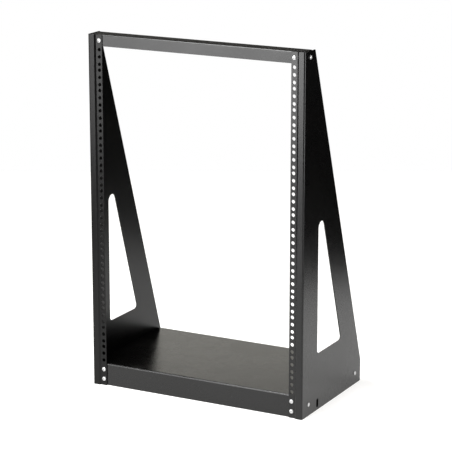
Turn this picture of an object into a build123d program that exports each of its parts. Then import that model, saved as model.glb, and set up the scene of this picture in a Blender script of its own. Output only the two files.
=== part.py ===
from build123d import *
import os

# Two post open frame rack for nineteen inch equipment, sixteen units high, on its own base shelf.
# Lengths are in millimetres. X runs from left to right, Y from front to back and Z upwards.
# The origin is on the floor, in the middle of the rack's width and depth.
#
# The rack is four folded sheets of steel. Each side frame is one sheet: the perforated post at the
# front, a shallow step in it, and the tapering side plate. A crossbar joins the posts at the top and
# a base shelf joins them at the foot. Twelve screws, drawn into press nuts, hold the four together.

# Hole pattern that the equipment is screwed to
rack_units = 16
unit_height = 44.45
unit_hole_heights = (6.35, 22.225, 38.1)
bay_width = 451.5
hole_edge_distance = 6.8
rack_hole_diameter = 8.0

# Sheet and bends
sheet = 2.0
bend_radius = 1.5
corner_relief = 1.0
sheet_fit = 0.2

# Overall depth, and the plain lengths of post above and below the holes
overall_depth = 300.0
top_margin = 26.1
bottom_margin = 52.2

# Post, from the edge of the bay to the middle of its step, and from there to the side plate's face
strip_width = 16.6
border_width = 16.4
step_depth = 3.0

# Side plate
side_top_depth = 47.9
side_foot_height = 50.0
side_top_corner_radius = 2.0
side_foot_corner_radius = 2.0

# Opening in the side plate, a right triangle with rounded corners
window_front_gap = 72.7
window_sill_height = 126.7
window_base_width = 121.7
window_side_height = 369.9
window_top_radius = 15.0
window_rear_radius = 8.0
window_front_radius = 9.0

# Upright slot low in the side plate and in the base behind it
slot_from_front = 76.0
slot_height = 15.6
slot_length = 20.0
slot_width = 10.0

# Crossbar and base shelf
crossbar_height = 25.2
crossbar_depth = 39.4
base_top_height = 51.0
base_lift = 0.6
base_rear_gap = 2.2

# Screws and press nuts
screw_diameter = 5.0
screw_length = 9.0
screw_head_diameter = 9.0
screw_head_height = 2.4
screw_head_edge_radius = 1.4
screw_clearance = 0.25
nut_collar_diameter = 8.7
nut_collar_height = 2.0
nut_shank_wall = 0.7
nut_thread_clearance = 0.1
nut_press_gap = 0.05

# Where the screws sit
post_top_screw_drop = 12.9
post_base_screw_heights = (15.0, 37.2)
side_top_screw_from_front = 25.4
side_top_screw_drop = 12.9
side_base_screw_height = 25.6
side_base_front_screw_inset = 26.0
side_base_rear_screw_inset = 27.1

# How far a cutting tool runs past what it cuts
overcut = 5.0

# Levels and faces that follow from the sizes
bay_height = rack_units * unit_height
rack_top = bottom_margin + bay_height + top_margin
step_centre = bay_width / 2 + strip_width
side_outer = step_centre + border_width
side_inner = side_outer - sheet
front = -overall_depth / 2
rear = overall_depth / 2
strip_front = front + step_depth
strip_back = strip_front + sheet
pan_front = strip_back + sheet_fit
pan_width = 2 * (side_inner - sheet_fit)
base_depth = rear - base_rear_gap - pan_front
hole_column = bay_width / 2 + hole_edge_distance
nut_shank_radius = screw_diameter / 2 + nut_thread_clearance + nut_shank_wall

forward = (0, -1, 0)
rightward = (1, 0, 0)


def drill(position, direction, radius, depth):
    """A round cutter, centred on a point of the sheet and running through it both ways."""
    return Plane(origin=position, z_dir=direction) * Cylinder(radius, depth)


def screw_points():
    """Seat of each right hand screw on the outer face, with its name and the way its head faces."""
    points = [("post_top", (hole_column, strip_front, rack_top - post_top_screw_drop), forward)]
    for label, height in zip(("lower", "upper"), post_base_screw_heights):
        points.append((f"post_base_{label}", (hole_column, strip_front, height), forward))
    side_top = (side_outer, front + side_top_screw_from_front, rack_top - side_top_screw_drop)
    points.append(("side_top", side_top, rightward))
    base_front_y = pan_front + side_base_front_screw_inset
    base_rear_y = pan_front + base_depth - side_base_rear_screw_inset
    for label, along in (("front", base_front_y), ("rear", base_rear_y)):
        points.append((f"side_base_{label}", (side_outer, along, side_base_screw_height), rightward))
    return points


def screw_drills(radius):
    """Cutters for the right hand screws, deep enough for the side frame and the sheet behind it."""
    reach = 2 * (2 * sheet + sheet_fit + overcut)
    return [drill(seat, facing, radius, reach) for _, seat, facing in screw_points()]


def slot_cutter():
    """Cutter for the upright slot in the side plate and in the end flange of the base."""
    outline = Rot(0, 0, 90) * SlotOverall(slot_length, slot_width)
    along = front + slot_from_front
    place = Plane(origin=(side_outer, along, slot_height), x_dir=(0, 1, 0), z_dir=rightward)
    return extrude(place * outline, amount=2 * sheet + sheet_fit + overcut, both=True)


def round_corner(outline, corner, radius):
    """The outline with the one corner that lies nearest a point rounded."""
    return fillet(outline.vertices().sort_by_distance(corner)[0], radius)


def side_outline():
    """Side view of the frame: upright at the front, with a back edge that leans in to the top."""
    outline = make_face(
        Polyline(
            (front - overcut, 0),
            (rear, 0),
            (rear, side_foot_height),
            (front + side_top_depth, rack_top),
            (front - overcut, rack_top),
            close=True,
        )
    )
    outline = round_corner(outline, (front + side_top_depth, rack_top), side_top_corner_radius)
    return round_corner(outline, (rear, 0), side_foot_corner_radius)


def side_window():
    """Right triangle cut out of the side plate, with each corner rounded to its own radius."""
    window_front = front + window_front_gap
    front_corner = (window_front, window_sill_height)
    rear_corner = (window_front + window_base_width, window_sill_height)
    top_corner = (window_front, window_sill_height + window_side_height)
    outline = make_face(Polyline(front_corner, rear_corner, top_corner, close=True))
    outline = round_corner(outline, front_corner, window_front_radius)
    outline = round_corner(outline, rear_corner, window_rear_radius)
    return round_corner(outline, top_corner, window_top_radius)


def folded_plan():
    """Plan of the side frame: hole strip, step forward to the border, bend, and side plate."""
    middle = sheet / 2
    line = FilletPolyline(
        (bay_width / 2, strip_front + middle),
        (step_centre - step_depth / 2, strip_front + middle),
        (step_centre + step_depth / 2, front + middle),
        (side_outer - middle, front + middle),
        (side_outer - middle, rear),
        radius=bend_radius + middle,
    )
    return trace(line, line_width=sheet)


def rack_hole_drills():
    """Cutters for the three holes in every rack unit of the right hand post."""
    cutters = []
    for unit in range(rack_units):
        for height in unit_hole_heights:
            centre = (hole_column, strip_front, bottom_margin + unit * unit_height + height)
            cutters.append(drill(centre, forward, rack_hole_diameter / 2, 2 * (sheet + overcut)))
    return cutters


def right_side_frame():
    """One folded sheet: perforated post, step, bend and the side plate with its window."""
    folded = extrude(folded_plan(), amount=rack_top)
    shape = folded & extrude(Plane.YZ * side_outline(), amount=side_outer + overcut)
    shape -= extrude(Plane.YZ * side_window(), amount=side_outer + overcut)
    shape -= slot_cutter()
    shape -= screw_drills(screw_diameter / 2 + screw_clearance)
    shape -= rack_hole_drills()
    return shape


def folded_pan(depth, height):
    """Sheet turned down on all four sides, with open corners; its top face is at Z zero."""
    middle = sheet / 2

    def channel(span):
        line = FilletPolyline(
            (middle - span / 2, -height),
            (middle - span / 2, -middle),
            (span / 2 - middle, -middle),
            (span / 2 - middle, -height),
            radius=bend_radius + middle,
        )
        return trace(line, line_width=sheet)

    corner = bend_radius + sheet + corner_relief
    front_and_back = extrude(Plane.YZ * channel(depth), amount=pan_width / 2 - corner, both=True)
    ends = extrude(Plane.XZ * channel(pan_width), amount=depth / 2 - corner, both=True)
    return Pos(0, pan_front + depth / 2, 0) * (front_and_back + ends)


def both_sides(cutters):
    """The cutters with their mirror images on the left."""
    return cutters + [mirror(cutter, about=Plane.YZ) for cutter in cutters]


def top_crossbar():
    """Inverted pan between the tops of the posts."""
    pan = Pos(0, 0, rack_top) * folded_pan(crossbar_depth, crossbar_height)
    return pan - both_sides(screw_drills(nut_shank_radius + nut_press_gap))


def base_shelf():
    """Inverted pan between the feet of the side frames; its top is the shelf."""
    pan = Pos(0, 0, base_top_height) * folded_pan(base_depth, base_top_height - base_lift)
    pan -= both_sides(screw_drills(nut_shank_radius + nut_press_gap))
    return pan - both_sides([slot_cutter()])


def screw():
    """Low domed screw with a plain shank, its seat at Z zero and its head upwards."""
    head = Cylinder(
        screw_head_diameter / 2, screw_head_height, align=(Align.CENTER, Align.CENTER, Align.MIN)
    )
    head = fillet(head.edges().sort_by(Axis.Z)[-1], screw_head_edge_radius)
    shank = Cylinder(screw_diameter / 2, screw_length, align=(Align.CENTER, Align.CENTER, Align.MAX))
    return head + shank


def press_nut():
    """Round nut pressed in from behind: its shank fills the hole and its collar sits on the sheet."""
    outer_face = -sheet - sheet_fit
    shank = Pos(0, 0, outer_face) * Cylinder(
        nut_shank_radius, sheet, align=(Align.CENTER, Align.CENTER, Align.MAX)
    )
    collar = Pos(0, 0, outer_face - sheet) * Cylinder(
        nut_collar_diameter / 2, nut_collar_height, align=(Align.CENTER, Align.CENTER, Align.MAX)
    )
    bore = Cylinder(screw_diameter / 2 + nut_thread_clearance, 2 * (screw_length + overcut))
    return shank + collar - bore


def save(name, shape):
    """Write one piece to its own file."""
    export_step(shape, f"parts/{name}.step")


def save_pair(name, shape):
    """Write a right hand piece and its mirror image on the left."""
    save(f"right_{name}", shape)
    save(f"left_{name}", mirror(shape, about=Plane.YZ))


os.makedirs("parts", exist_ok=True)
save_pair("side_frame", right_side_frame())
save("top_crossbar", top_crossbar())
save("base_shelf", base_shelf())
for place_name, seat_point, head_direction in screw_points():
    seat_plane = Plane(origin=seat_point, z_dir=head_direction)
    save_pair(f"{place_name}_screw", seat_plane * screw())
    save_pair(f"{place_name}_press_nut", seat_plane * press_nut())
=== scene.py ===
# %% [markdown]
# # Two post open frame rack
#
# The rack is four folded sheets of steel under a black powder coat, held together by twelve bright
# screws. Its shapes come from the CAD model, so this lesson is about what the CAD leaves out: how
# the coat takes light, the screws with their cross recesses and threads, the press nuts, and a
# small photo studio that shows all of it on white.

# %% Load the frame
from math import cos, pi, radians, sin, tau

import bmesh
import bpy
from mathutils import Matrix, Vector


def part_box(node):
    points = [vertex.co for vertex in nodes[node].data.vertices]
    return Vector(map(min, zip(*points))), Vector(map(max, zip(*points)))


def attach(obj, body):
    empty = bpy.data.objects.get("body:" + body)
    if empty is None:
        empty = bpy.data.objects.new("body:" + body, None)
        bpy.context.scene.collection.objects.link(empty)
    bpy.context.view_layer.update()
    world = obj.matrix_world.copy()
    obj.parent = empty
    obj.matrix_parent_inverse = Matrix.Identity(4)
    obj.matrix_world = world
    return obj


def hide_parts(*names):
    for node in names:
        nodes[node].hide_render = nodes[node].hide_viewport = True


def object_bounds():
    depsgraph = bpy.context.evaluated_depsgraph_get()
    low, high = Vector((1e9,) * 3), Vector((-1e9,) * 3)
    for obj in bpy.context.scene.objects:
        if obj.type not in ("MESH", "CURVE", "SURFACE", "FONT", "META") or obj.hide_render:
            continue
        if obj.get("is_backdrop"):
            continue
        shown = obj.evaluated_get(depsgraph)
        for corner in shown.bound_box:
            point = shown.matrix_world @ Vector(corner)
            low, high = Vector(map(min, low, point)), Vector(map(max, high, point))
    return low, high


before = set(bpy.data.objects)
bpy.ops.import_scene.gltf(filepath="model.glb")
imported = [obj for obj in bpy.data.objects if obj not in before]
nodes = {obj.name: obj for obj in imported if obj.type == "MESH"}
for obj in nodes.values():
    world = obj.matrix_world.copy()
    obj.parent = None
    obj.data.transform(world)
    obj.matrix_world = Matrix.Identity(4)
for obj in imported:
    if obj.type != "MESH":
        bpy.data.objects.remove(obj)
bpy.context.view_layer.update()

scene = bpy.context.scene
print("CAD nodes:", len(nodes))

# %% [markdown]
# ## Helpers for node trees
#
# A material is a small graph. Two helpers keep the graphs short: one makes a node and sets its
# values, and one makes a node group with named inputs and outputs, so that an effect is built once
# and then used by each material with its own numbers.

# %% Node helpers

# Noise of several octaves rarely leaves this part of the way from zero to one.
NOISE_LOW = 0.3
NOISE_HIGH = 0.7


def add_node(tree, kind, values=None, **settings):
    """Make a node, set its properties, and set or link its inputs."""
    node = tree.nodes.new(kind)
    for name, value in settings.items():
        setattr(node, name, value)
    for name, value in (values or {}).items():
        socket = node.inputs[name]
        if isinstance(value, bpy.types.NodeSocket):
            tree.links.new(value, socket)
        else:
            socket.default_value = value
    return node


def new_group(name, inputs, outputs):
    """Start a shader node group; inputs are (name, kind, default) and outputs (name, kind)."""
    group = bpy.data.node_groups.new(name, "ShaderNodeTree")
    for label, kind, default in inputs:
        socket = group.interface.new_socket(label, in_out="INPUT", socket_type=kind)
        if default is not None:
            socket.default_value = default
    for label, kind in outputs:
        group.interface.new_socket(label, in_out="OUTPUT", socket_type=kind)
    start = group.nodes.new("NodeGroupInput").outputs
    end = group.nodes.new("NodeGroupOutput").inputs
    return group, start, end


def use_group(tree, group, values):
    """Place a group in a material and give it this material's values."""
    return add_node(tree, "ShaderNodeGroup", node_tree=group, values=values).outputs


def spread(tree, noise, lowest, highest):
    """Stretch a noise, which keeps near its middle, over a range of values."""
    return add_node(
        tree,
        "ShaderNodeMapRange",
        values={
            "Value": noise,
            "From Min": NOISE_LOW,
            "From Max": NOISE_HIGH,
            "To Min": lowest,
            "To Max": highest,
        },
    ).outputs[0]


def new_material(name):
    """A material with an empty tree but for its Principled shader and its output."""
    material = bpy.data.materials.new(name)
    material.use_nodes = True
    return material, material.node_tree, material.node_tree.nodes["Principled BSDF"].inputs


FLOAT = "NodeSocketFloat"
VECTOR = "NodeSocketVector"
COLOUR = "NodeSocketColor"
print("helpers ready")

# %% [markdown]
# ## Powder coat
#
# Powder is sprayed on dry and baked until it melts into a skin. The skin never levels out fully: it
# keeps a faint orange peel, with waves a millimetre or two wide, and a finer grain on top. Painting
# those waves as an image would need unwrapped sheets. Noise in Object coordinates runs through the
# solid instead, keeps its real size on every sheet, and needs no seams. The group gives a height for
# the Bump node and a gloss mask, because the skin is a little duller where it is thicker.

# %% Powder coat group
MILLIMETRE = 0.001

# Widths of the waves, in millimetres, and how much of the height is fine grain.
PEEL_WIDTH = 1.6
GRAIN_WIDTH = 0.35
GRAIN_SHARE = 0.3
CLOUD_SCALE = 9.0

coat_group, coat_in, coat_out = new_group(
    "powder_coat_skin",
    [
        ("Position", VECTOR, None),
        ("Peel Width", FLOAT, PEEL_WIDTH),
        ("Grain Width", FLOAT, GRAIN_WIDTH),
        ("Grain Share", FLOAT, GRAIN_SHARE),
    ],
    [("Height", FLOAT), ("Gloss", FLOAT), ("Cloud", FLOAT)],
)


def waves(tree, position, width_socket, detail):
    """Noise whose waves have a width given in millimetres."""
    per_metre = add_node(
        tree, "ShaderNodeMath", operation="DIVIDE", values={0: 1 / MILLIMETRE, 1: width_socket}
    )
    noise = add_node(
        tree,
        "ShaderNodeTexNoise",
        values={"Vector": position, "Scale": per_metre.outputs[0], "Detail": detail, "Roughness": 0.55},
    )
    return noise.outputs["Fac"]


peel = waves(coat_group, coat_in["Position"], coat_in["Peel Width"], 1.0)
grain = waves(coat_group, coat_in["Position"], coat_in["Grain Width"], 2.0)
height = add_node(
    coat_group, "ShaderNodeMix", values={"Factor": coat_in["Grain Share"], "A": peel, "B": grain}
).outputs[0]
cloud = add_node(
    coat_group,
    "ShaderNodeTexNoise",
    values={"Vector": coat_in["Position"], "Scale": CLOUD_SCALE, "Detail": 3.0, "Roughness": 0.6},
).outputs["Fac"]
gloss = add_node(coat_group, "ShaderNodeMix", values={"Factor": 0.5, "A": height, "B": cloud}).outputs[0]
for label, value in (("Height", height), ("Gloss", gloss), ("Cloud", cloud)):
    coat_group.links.new(value, coat_out[label])
print("powder coat group:", len(coat_group.nodes), "nodes")

# %% [markdown]
# The black itself is almost free of colour, a touch warm. Each sheet gets its own roughness and sheen;
# the sheens differ as painted light and shade, standing in for the slight tilts of the real sheets,
# which turn some toward the lamps and some away. The colour goes from a deep black to a slightly
# paler one over soft clouds, and the bump is only a few hundredths of a millimetre deep.

# %% Powder coat materials
DEEP_BLACK = (0.0007, 0.0006, 0.0006, 1)
PALE_BLACK = (0.0016, 0.0015, 0.0014, 1)
PEEL_DEPTH = 0.012 * MILLIMETRE


def powder_coat(name, smoothest, roughest, sheen):
    """Black powder coat whose roughness wanders between two values."""
    material, tree, shader = new_material(name)
    place = add_node(tree, "ShaderNodeTexCoord").outputs["Object"]
    skin = use_group(tree, coat_group, {"Position": place})
    colour = add_node(
        tree,
        "ShaderNodeMix",
        data_type="RGBA",
        values={"Factor": skin["Cloud"], 6: DEEP_BLACK, 7: PALE_BLACK},
    )
    rough = spread(tree, skin["Gloss"], smoothest, roughest)
    bump = add_node(
        tree, "ShaderNodeBump", values={"Strength": 1.0, "Distance": PEEL_DEPTH, "Height": skin["Height"]}
    )
    tree.links.new(colour.outputs[2], shader["Base Color"])
    tree.links.new(rough, shader["Roughness"])
    tree.links.new(bump.outputs[0], shader["Normal"])
    shader["Specular IOR Level"].default_value = sheen
    return material


# The last number of each coat is its sheen, set apart for each sheet as painted light and shade.
coats = {
    "left_side_frame": powder_coat("powder_coat_left_frame", 0.27, 0.33, 0.21),
    "right_side_frame": powder_coat("powder_coat_right_frame", 0.25, 0.31, 0.38),
    "top_crossbar": powder_coat("powder_coat_crossbar", 0.32, 0.38, 0.45),
    "base_shelf": powder_coat("powder_coat_base", 0.25, 0.30, 0.42),
}
print("coats:", ", ".join(coats))

# %% [markdown]
# ## Zinc plate
#
# The screws and nuts are bright zinc plated steel. Plating is metal, so it has no colour of its own
# apart from the tint of its reflection, and it is slightly cloudy where the bath was uneven. One
# group gives the tint and the roughness to both.

# %% Zinc group and materials
zinc_group, zinc_in, zinc_out = new_group(
    "zinc_plate",
    [
        ("Position", VECTOR, None),
        ("Pale", COLOUR, (0.80, 0.80, 0.78, 1)),
        ("Dull", COLOUR, (0.60, 0.61, 0.62, 1)),
        ("Smoothest", FLOAT, 0.22),
        ("Roughest", FLOAT, 0.40),
    ],
    [("Tint", COLOUR), ("Roughness", FLOAT), ("Height", FLOAT)],
)
PATCH_SCALE = 420.0
SCRATCH_SCALE = 2600.0
patches = add_node(
    zinc_group,
    "ShaderNodeTexNoise",
    values={"Vector": zinc_in["Position"], "Scale": PATCH_SCALE, "Detail": 4.0},
).outputs["Fac"]
scratches = add_node(
    zinc_group,
    "ShaderNodeTexNoise",
    values={"Vector": zinc_in["Position"], "Scale": SCRATCH_SCALE, "Detail": 2.0},
).outputs["Fac"]
tint = add_node(
    zinc_group,
    "ShaderNodeMix",
    data_type="RGBA",
    values={"Factor": patches, 6: zinc_in["Pale"], 7: zinc_in["Dull"]},
).outputs[2]
worn = spread(zinc_group, patches, zinc_in["Smoothest"], zinc_in["Roughest"])
for label, value in (("Tint", tint), ("Roughness", worn), ("Height", scratches)):
    zinc_group.links.new(value, zinc_out[label])

SCRATCH_DEPTH = 0.004 * MILLIMETRE


def zinc_plate(name, pale, dull, smoothest, roughest, metal):
    """Plated steel with its own brightness and roughness."""
    material, tree, shader = new_material(name)
    place = add_node(tree, "ShaderNodeTexCoord").outputs["Object"]
    values = {"Position": place, "Pale": pale, "Dull": dull, "Smoothest": smoothest, "Roughest": roughest}
    plate = use_group(tree, zinc_group, values)
    bump = add_node(
        tree,
        "ShaderNodeBump",
        values={"Strength": 0.6, "Distance": SCRATCH_DEPTH, "Height": plate["Height"]},
    )
    tree.links.new(plate["Tint"], shader["Base Color"])
    tree.links.new(plate["Roughness"], shader["Roughness"])
    tree.links.new(bump.outputs[0], shader["Normal"])
    shader["Metallic"].default_value = metal
    return material


bright_zinc = zinc_plate("bright_zinc_screw", (0.65, 0.65, 0.64, 1), (0.51, 0.51, 0.52, 1), 0.46, 0.58, 0.9)
dull_zinc = zinc_plate("dull_zinc_nut", (0.72, 0.72, 0.70, 1), (0.54, 0.55, 0.56, 1), 0.30, 0.48, 1.0)
print("metals:", bright_zinc.name, dull_zinc.name)

# %% [markdown]
# ## Sheets with softened edges
#
# Molten powder draws back from a sharp edge and leaves it round, so every cut edge of the rack
# carries a thin line of light. The CAD sheets end in knife edges. Each one is copied, its triangles
# are joined again into whole faces, and the outer edges get a small round bevel. Only edges that
# stick out are taken, since the inner corners of the folds stay as they are. The normals are
# weighted by area, which keeps the large faces flat beside the narrow bevels.

# %% Soften the cut edges
EDGE_ROUND = 0.35 * MILLIMETRE
MERGE_DISTANCE = 0.002 * MILLIMETRE
SHARP_ANGLE = radians(50)
FLAT_ANGLE = radians(0.5)
SMOOTH_ANGLE = radians(35)


def soft_sheet(sheet_name, coat):
    """A copy of a CAD sheet with rounded outer edges, standing in for that sheet."""
    work = bmesh.new()
    work.from_mesh(nodes[sheet_name].data)
    bmesh.ops.remove_doubles(work, verts=work.verts, dist=MERGE_DISTANCE)
    bmesh.ops.dissolve_limit(work, angle_limit=FLAT_ANGLE, verts=work.verts, edges=work.edges)
    bmesh.ops.recalc_face_normals(work, faces=work.faces)
    rims = [
        edge
        for edge in work.edges
        if len(edge.link_faces) == 2 and edge.is_convex and edge.calc_face_angle() > SHARP_ANGLE
    ]
    bmesh.ops.bevel(
        work,
        geom=rims,
        offset=EDGE_ROUND,
        segments=2,
        profile=0.5,
        affect="EDGES",
        clamp_overlap=True,
        material=-1,
    )
    mesh = bpy.data.meshes.new(sheet_name + "_soft_edged")
    work.to_mesh(mesh)
    open_edges = sum(1 for edge in work.edges if len(edge.link_faces) != 2)
    work.free()
    sheet = bpy.data.objects.new(mesh.name, mesh)
    scene.collection.objects.link(sheet)
    mesh.materials.append(coat)
    mesh.shade_smooth()
    mesh.set_sharp_from_angle(angle=SMOOTH_ANGLE)
    even = sheet.modifiers.new("flat_faces", "WEIGHTED_NORMAL")
    even.keep_sharp = True
    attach(sheet, "root")
    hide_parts(sheet_name)
    print(mesh.name, "rims:", len(rims), "faces:", len(mesh.polygons), "open edges:", open_edges)


for sheet_name, coat in coats.items():
    soft_sheet(sheet_name, coat)

# %% [markdown]
# ## Screws
#
# Each screw is a pan head with a cross recess on a threaded shank. A lathe would cut the head from
# a bar, and a lathe is what spin is: half an outline, turned once about the axis. The thread is the
# same spin with a step along the axis, so that the outline climbs by one pitch a turn. The recess
# is two crossing blades that taper, cut out with a Boolean. One screw is made at the origin, and its
# mesh is then placed twelve times, each turned to its own angle, because no two screws stop alike.

# %% Screw sizes, in metres
HEAD_RADIUS = 4.5 * MILLIMETRE
HEAD_HEIGHT = 2.4 * MILLIMETRE
HEAD_EDGE = 0.7 * MILLIMETRE
HEAD_FOOT = 0.1 * MILLIMETRE
SHANK_RADIUS = 2.5 * MILLIMETRE
SHANK_LENGTH = 9.0 * MILLIMETRE
THREAD_DEPTH = 0.42 * MILLIMETRE
THREAD_PITCH = 0.8 * MILLIMETRE
THREAD_START = 0.1 * MILLIMETRE
THREAD_RUN_OUT = 1.2 * MILLIMETRE
RECESS_REACH = 2.35 * MILLIMETRE
RECESS_WIDTH = 1.0 * MILLIMETRE
RECESS_DEPTH = 1.7 * MILLIMETRE
RECESS_TAPER = 0.45
BLADE_TAPER = 0.6
CUT_PAST = 0.5 * MILLIMETRE
TURN_STEPS = 48
THREAD_STEPS = 24
Z_AXIS = Vector((0, 0, 1))
ORIGIN = Vector((0, 0, 0))
print("screw head mm:", round(2 * HEAD_RADIUS / MILLIMETRE, 1), "pitch mm:", THREAD_PITCH / MILLIMETRE)

# %% Lathe helper


def lathe(outline, steps=TURN_STEPS):
    """Turn an outline of (radius, height) points about Z into a closed solid."""
    work = bmesh.new()
    points = [work.verts.new((radius, 0, level)) for radius, level in outline]
    edges = [work.edges.new(pair) for pair in zip(points, points[1:])]
    bmesh.ops.spin(
        work, geom=points + edges, cent=ORIGIN, axis=Z_AXIS, angle=tau, steps=steps, use_merge=True
    )
    bmesh.ops.remove_doubles(work, verts=work.verts, dist=0.001 * MILLIMETRE)
    bmesh.ops.recalc_face_normals(work, faces=work.faces)
    return work


def to_object(work, name):
    """Turn a bmesh into an object in the scene."""
    mesh = bpy.data.meshes.new(name)
    work.to_mesh(mesh)
    work.free()
    made = bpy.data.objects.new(name, mesh)
    scene.collection.objects.link(made)
    return made


def arc(centre_radius, centre_level, radius, start, end, count):
    """Points of an arc in the outline's plane, with angles in degrees from straight outwards."""
    turns = [radians(start + (end - start) * step / count) for step in range(count + 1)]
    return [(centre_radius + radius * cos(turn), centre_level + radius * sin(turn)) for turn in turns]


# The head's rim is round, and its top is a dome that meets the rim smoothly.
RIM_TURN = 50
RIM_STEPS = 6
DOME_STEPS = 8
rim = arc(HEAD_RADIUS - HEAD_EDGE, HEAD_EDGE + HEAD_FOOT, HEAD_EDGE, 0, RIM_TURN, RIM_STEPS)
dome_start_radius, dome_start_level = rim[-1]
dome_rise = HEAD_HEIGHT - dome_start_level
dome = [
    (dome_start_radius * (1 - share), dome_start_level + dome_rise * sin(pi / 2 * share))
    for share in [step / DOME_STEPS for step in range(1, DOME_STEPS + 1)]
]
foot = [(0, 0), (HEAD_RADIUS - HEAD_FOOT, 0), (HEAD_RADIUS, 1.5 * HEAD_FOOT)]
head_outline = foot + rim + dome
print("head outline points:", len(head_outline))

# %% Cross recess cutter


def recess_cutter():
    """Two crossing blades that taper downwards."""
    work = bmesh.new()
    bottom = HEAD_HEIGHT - RECESS_DEPTH
    top = HEAD_HEIGHT + CUT_PAST
    for turn in (0, pi / 2):
        blade = bmesh.ops.create_cube(work, size=1)["verts"]
        for corner in blade:
            low = corner.co.z < 0
            reach = RECESS_REACH * (RECESS_TAPER if low else 1.0)
            width = RECESS_WIDTH * (BLADE_TAPER if low else 1.0)
            corner.co = Vector((corner.co.x * 2 * reach, corner.co.y * width, bottom if low else top))
        bmesh.ops.rotate(work, verts=blade, cent=ORIGIN, matrix=Matrix.Rotation(turn, 3, "Z"))
    return work


def cut(target, cutter):
    """Cut one object out of another and keep the result as a plain mesh."""
    modifier = target.modifiers.new("cut", "BOOLEAN")
    modifier.operation = "DIFFERENCE"
    modifier.solver = "EXACT"
    modifier.use_self = True
    modifier.object = cutter
    bpy.context.view_layer.update()
    result = bpy.data.meshes.new_from_object(target.evaluated_get(bpy.context.evaluated_depsgraph_get()))
    target.modifiers.clear()
    target.data = result
    bpy.data.objects.remove(cutter)


head = to_object(lathe(head_outline), "screw_head_pattern")
cut(head, to_object(recess_cutter(), "recess_cutter"))
print("head faces after the cut:", len(head.data.polygons))

# %% Threaded shank


def threaded_shank():
    """A screw thread: one pitch of outline, spun with a climb, and closed at both ends."""
    work = bmesh.new()
    root = SHANK_RADIUS - THREAD_DEPTH
    start = THREAD_START - SHANK_LENGTH
    outline = [(root, 0), (SHANK_RADIUS, 0.4), (SHANK_RADIUS, 0.5), (root, 0.9), (root, 1.0)]
    points = [work.verts.new((radius, 0, start + share * THREAD_PITCH)) for radius, share in outline]
    edges = [work.edges.new(pair) for pair in zip(points, points[1:])]
    turns = int((SHANK_LENGTH - THREAD_RUN_OUT) / THREAD_PITCH)
    bmesh.ops.spin(
        work,
        geom=points + edges,
        cent=ORIGIN,
        axis=Z_AXIS,
        dvec=Vector((0, 0, THREAD_PITCH / THREAD_STEPS)),
        angle=tau * turns,
        steps=THREAD_STEPS * turns,
    )
    bmesh.ops.remove_doubles(work, verts=work.verts, dist=0.005 * MILLIMETRE)
    bmesh.ops.holes_fill(work, edges=work.edges, sides=0)
    bmesh.ops.recalc_face_normals(work, faces=work.faces)
    return work


shank = to_object(threaded_shank(), "screw_shank_pattern")
print("shank faces:", len(shank.data.polygons))

# %% [markdown]
# The finished screw joins the head, a plain neck and the thread. Its faces are shaded smooth but
# for the sharp edges of the recess, which are found by the angle between the faces. A screw of
# the CAD model is hidden, and the new one stands in its place: its seat and its direction come
# from the box of the CAD node, so it can't drift away from its hole.

# %% Place the screws
FORWARD = Vector((0, -1, 0))
NECK_DEPTH = 1.0 * MILLIMETRE
NECK_LAP = 0.2 * MILLIMETRE
NECK_OUTLINE = [(0, -NECK_DEPTH), (SHANK_RADIUS, -NECK_DEPTH), (SHANK_RADIUS, NECK_LAP), (0, NECK_LAP)]

neck = to_object(lathe(NECK_OUTLINE), "screw_neck_pattern")


def joined_pattern(parts):
    """One bmesh that holds the meshes of several pattern objects."""
    work = bmesh.new()
    for part in parts:
        work.from_mesh(part.data)
    return work


def facing(node_name):
    """Which way a screw or nut faces: forward on the posts, and outward on the side plates."""
    if "post" in node_name:
        return FORWARD
    return Vector((-1 if node_name.startswith("left") else 1, 0, 0))


def seat_of(node_name):
    """Middle of the head's underside: in from the outermost point of the node by the head's height."""
    low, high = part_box(node_name)
    direction = facing(node_name)
    middle = (low + high) / 2
    along = max(direction.dot(low), direction.dot(high)) - HEAD_HEIGHT
    return middle - direction * direction.dot(middle) + direction * along


def place_piece(work, node_name, material, seat, spin_angle=0.0):
    """Turn a pattern to face its way, move it to its seat, and let it stand for the CAD node."""
    direction = facing(node_name)
    turn = Z_AXIS.rotation_difference(direction).to_matrix() @ Matrix.Rotation(spin_angle, 3, "Z")
    bmesh.ops.transform(work, matrix=Matrix.Translation(seat) @ turn.to_4x4(), verts=work.verts)
    piece = to_object(work, node_name + "_finished")
    piece.data.materials.append(material)
    piece.data.shade_smooth()
    piece.data.set_sharp_from_angle(angle=SMOOTH_ANGLE)
    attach(piece, "root")
    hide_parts(node_name)
    return piece


screw_names = sorted(name for name in nodes if name.endswith("_screw"))
SPIN_STEP = radians(137.5)
for index, name in enumerate(screw_names):
    screw = joined_pattern([head, neck, shank])
    place_piece(screw, name, bright_zinc, seat_of(name), index * SPIN_STEP)
for pattern in (head, neck, shank):
    bpy.data.objects.remove(pattern)
print("screws placed:", len(screw_names))

# %% [markdown]
# ## Press nuts
#
# A press nut is a plain ring with chamfered edges, pushed into the sheet from behind until its
# knurled neck bites. Only the collar shows, from behind and from below. It is turned on the same
# lathe, this time from a closed outline that doesn't reach the axis, which leaves the bore open.

# %% Place the press nuts
COLLAR_RADIUS = 4.35 * MILLIMETRE
COLLAR_HEIGHT = 2.0 * MILLIMETRE
NECK_RADIUS = 3.3 * MILLIMETRE
BORE_RADIUS = 2.6 * MILLIMETRE
SHEET = 2.0 * MILLIMETRE
CHAMFER = 0.35 * MILLIMETRE

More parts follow.
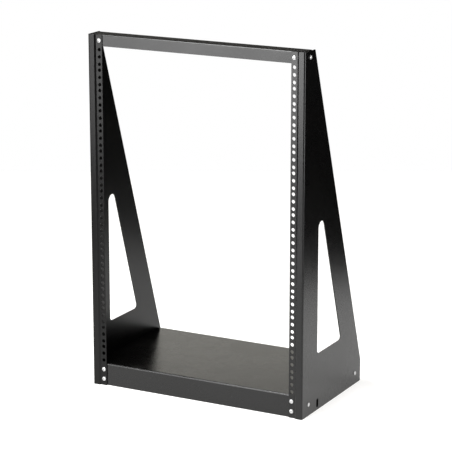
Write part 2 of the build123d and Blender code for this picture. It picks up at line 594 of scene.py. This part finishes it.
nut_outline = [
    (BORE_RADIUS, 0),
    (NECK_RADIUS, 0),
    (NECK_RADIUS, -SHEET),
    (COLLAR_RADIUS, -SHEET),
    (COLLAR_RADIUS, -SHEET - COLLAR_HEIGHT + CHAMFER),
    (COLLAR_RADIUS - CHAMFER, -SHEET - COLLAR_HEIGHT),
    (BORE_RADIUS + CHAMFER, -SHEET - COLLAR_HEIGHT),
    (BORE_RADIUS, -SHEET - COLLAR_HEIGHT + CHAMFER),
    (BORE_RADIUS, 0),
]
nut_names = sorted(name for name in nodes if name.endswith("_press_nut"))
for name in nut_names:
    low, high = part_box(name)
    direction = facing(name)
    middle = (low + high) / 2
    outer_end = max(direction.dot(low), direction.dot(high))
    seat = middle - direction * direction.dot(middle) + direction * outer_end
    place_piece(lathe(nut_outline), name, dull_zinc, seat)
print("press nuts placed:", len(nut_names))

# %% [markdown]
# ## Camera
#
# The photograph was taken with a long lens from above the right front corner. The camera here
# stands at the same place. Its lens follows from how fast the hole columns shrink with distance.

# %% Camera
VIEW_AZIMUTH = 27.853
VIEW_ELEVATION = 14.443
CAMERA_PLACE = (2.0470, -3.8790, 1.49086)
LENS = 163.9
SENSOR = 36

camera_data = bpy.data.cameras.new("camera")
camera_data.lens = LENS
camera_data.sensor_width = SENSOR
camera = bpy.data.objects.new("camera", camera_data)
camera.location = CAMERA_PLACE
camera.rotation_euler = (radians(90 - VIEW_ELEVATION), 0, radians(VIEW_AZIMUTH))
scene.collection.objects.link(camera)
scene.camera = camera
print("camera", round(camera.location.length, 2), "m from the origin")

# %% [markdown]
# ## Studio
#
# Black gloss is mostly a picture of the room around it, so the room is built: a pale sheet of
# paper on the floor that turns up behind the rack, three soft lamps, a white card, and dark screens
# that stand where the real studio was dark. The card and the screens are hidden from the camera and
# work only through reflections, so every side of the rack can be looked at. The paper and the world
# are plain white to the camera and to mirror rays, and the paper also has its own pale colour,
# which keeps the shadow beside the rack.

# %% Studio pieces


def place_stage(work, name, material, hidden_from_camera):
    """Put a stage piece in the scene, turned to face along the line of view."""
    bmesh.ops.transform(work, matrix=Matrix.Rotation(radians(VIEW_AZIMUTH), 4, "Z"), verts=work.verts)
    piece = to_object(work, name)
    piece.data.materials.append(material)
    piece.visible_camera = not hidden_from_camera
    piece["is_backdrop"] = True
    return piece


def panel(width, height, centre, turn_x=0.0, turn_z=0.0):
    """A flat rectangle, made lying down, stood up by turn_x and swung round by turn_z."""
    work = bmesh.new()
    corners = bmesh.ops.create_grid(work, x_segments=1, y_segments=1, size=0.5)["verts"]
    for corner in corners:
        corner.co = Vector((corner.co.x * width, corner.co.y * height, 0))
    turn = Matrix.Rotation(turn_z, 4, "Z") @ Matrix.Rotation(turn_x, 4, "X")
    bmesh.ops.transform(work, matrix=Matrix.Translation(Vector(centre)) @ turn, verts=work.verts)
    return work


def white_to_view(tree):
    """One for camera, mirror and glass rays, and nothing for the rest."""
    rays = add_node(tree, "ShaderNodeLightPath").outputs

    def either(one, other):
        return add_node(tree, "ShaderNodeMath", operation="MAXIMUM", values={0: one, 1: other}).outputs[0]

    return either(either(rays["Is Camera Ray"], rays["Is Glossy Ray"]), rays["Is Transmission Ray"])


def paper_material(name, colour, lift, glow_colour):
    """Matt paper that glows a little for the rays that see it, so that it reads as white."""
    material, tree, _ = new_material(name)
    tree.nodes.remove(tree.nodes["Principled BSDF"])
    matt = add_node(tree, "ShaderNodeBsdfDiffuse", values={"Color": colour})
    amount = add_node(
        tree, "ShaderNodeMath", operation="MULTIPLY", values={0: white_to_view(tree), 1: lift}
    )
    glow = add_node(tree, "ShaderNodeEmission", values={"Color": glow_colour, "Strength": amount.outputs[0]})
    both = add_node(tree, "ShaderNodeAddShader", values={0: matt.outputs[0], 1: glow.outputs[0]})
    tree.links.new(both.outputs[0], tree.nodes["Material Output"].inputs["Surface"])
    return material


def screen_material(name, colour):
    """Dark felt that returns next to nothing."""
    material, _, shader = new_material(name)
    shader["Base Color"].default_value = colour
    shader["Roughness"].default_value = 1.0
    shader["Specular IOR Level"].default_value = 0.0
    return material


paper = paper_material("studio_paper", (0.45, 0.45, 0.45, 1), 0.75, (1, 0.99, 0.97, 1))
warm_paper = paper_material("studio_paper_rise", (0.58, 0.57, 0.53, 1), 0.50, (1, 0.97, 0.88, 1))
felt = screen_material("studio_felt", (0.003, 0.003, 0.003, 1))

PAPER_LEFT = -1.2
PAPER_RIGHT = 1.0
PAPER_FRONT = -1.6
PAPER_BACK = 2.1
PAPER_RISE = 1.0
paper_width = PAPER_RIGHT - PAPER_LEFT
paper_depth = PAPER_BACK - PAPER_FRONT
paper_middle_x = (PAPER_LEFT + PAPER_RIGHT) / 2
paper_middle_y = (PAPER_BACK + PAPER_FRONT) / 2
floor_sheet = panel(paper_width, paper_depth, (paper_middle_x, paper_middle_y, 0))
rise_sheet = panel(paper_width, PAPER_RISE, (paper_middle_x, PAPER_BACK, PAPER_RISE / 2), turn_x=pi / 2)
place_stage(floor_sheet, "paper_floor", paper, False)
place_stage(rise_sheet, "paper_rise", warm_paper, True)

ROOM_HALF = 3.6
ROOM_HEIGHT = 3.4
UNDER_PAPER = -0.01
place_stage(panel(2 * ROOM_HALF, 2 * ROOM_HALF, (0, 0, UNDER_PAPER)), "felt_floor", felt, True)
place_stage(panel(2 * ROOM_HALF, 2 * ROOM_HALF, (0, 0, ROOM_HEIGHT)), "felt_ceiling", felt, True)
for side_name, turn in (("back", 0), ("left", pi / 2), ("front", pi), ("right", -pi / 2)):
    away = Matrix.Rotation(turn, 3, "Z") @ Vector((0, ROOM_HALF, ROOM_HEIGHT / 2))
    wall = panel(2 * ROOM_HALF, ROOM_HEIGHT, away, turn_x=pi / 2, turn_z=turn)
    place_stage(wall, f"felt_{side_name}", felt, True)


def standing_sheet(start, end, height):
    """A sheet that stands on the floor between two points of the turned frame."""
    run = Vector(end) - Vector(start)
    middle = (Vector(start) + Vector(end)) / 2 + Vector((0, 0, height / 2))
    turn = Vector((1, 0, 0)).rotation_difference(run).to_euler().z
    return panel(run.length, height, middle, turn_x=pi / 2, turn_z=turn)


# A black flag behind the rack, on its right, keeps the far floor out of the side plates' gloss.
FLAG_START = (0.45, 0.84, 0)
FLAG_END = (2.0, -0.1, 0)
FLAG_HEIGHT = 1.7
flag = place_stage(standing_sheet(FLAG_START, FLAG_END, FLAG_HEIGHT), "black_flag", felt, True)

# A white card in front of the rack, on its right, lights the outer bend of the right post.
CARD_START = (0.75, -1.53, 0)
CARD_END = (1.18, -1.22, 0)
CARD_HEIGHT = 0.9
card = place_stage(standing_sheet(CARD_START, CARD_END, CARD_HEIGHT), "white_card", paper, True)
for sheet in (flag, card):
    sheet.visible_shadow = False

# Painted shadow: the paper glows for the camera, so the patch under the base, which lies in the rack's
# shadow, is covered with black felt.
base_low, base_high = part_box("base_shelf")
SHADE_INSET = 3 * MILLIMETRE
SHADE_LEVEL = 0.3 * MILLIMETRE
shade_size = base_high - base_low - 2 * Vector((SHADE_INSET, SHADE_INSET, 0))
shade = panel(shade_size.x, shade_size.y, (0, 0, SHADE_LEVEL), turn_z=-radians(VIEW_AZIMUTH))
place_stage(shade, "floor_shade", felt, False)
print("studio pieces placed")

# %% Lamps and world


def soft_lamp(name, place, target, width, height, watts):
    """A rectangular soft lamp aimed at a point; its place is in the camera's turned frame."""
    turn = Matrix.Rotation(radians(VIEW_AZIMUTH), 3, "Z")
    data = bpy.data.lights.new(name, "AREA")
    data.shape = "RECTANGLE"
    data.size = width
    data.size_y = height
    data.energy = watts
    lamp = bpy.data.objects.new(name, data)
    lamp.location = turn @ Vector(place)
    aim = turn @ Vector(target) - lamp.location
    lamp.rotation_euler = aim.to_track_quat("-Z", "Y").to_euler()
    lamp.visible_camera = False
    scene.collection.objects.link(lamp)
    return lamp


MIDDLE = (0, 0, 0.4)
soft_lamp("overhead_lamp", (-0.68, -0.42, 2.28), MIDDLE, 1.5, 0.9, 90)
soft_lamp("front_lamp", (-1.72, -1.38, 0.93), (0, 0, 0.7), 1.15, 1.6, 52)
soft_lamp("side_lamp", (1.77, -0.93, 0.86), (0, 0, 0.5), 1.2, 1.7, 40)

world = bpy.data.worlds.new("studio_world")
world.use_nodes = True
scene.world = world
backdrop = world.node_tree.nodes["Background"]
backdrop.inputs["Color"].default_value = (1, 1, 1, 1)
PLAIN_LEVEL = 0.5
rest_of_light = add_node(
    world.node_tree,
    "ShaderNodeMapRange",
    values={"Value": white_to_view(world.node_tree), "To Min": PLAIN_LEVEL, "To Max": 1.0},
)
world.node_tree.links.new(rest_of_light.outputs[0], backdrop.inputs["Strength"])
scene.view_settings.view_transform = "Standard"

# %% [markdown]
# ## Finish
#
# The box of the finished model is printed, to show its size.

# %% Sizes and finish
low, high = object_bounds()
print("visual box:", [round(v, 4) for v in (*low, *high)])
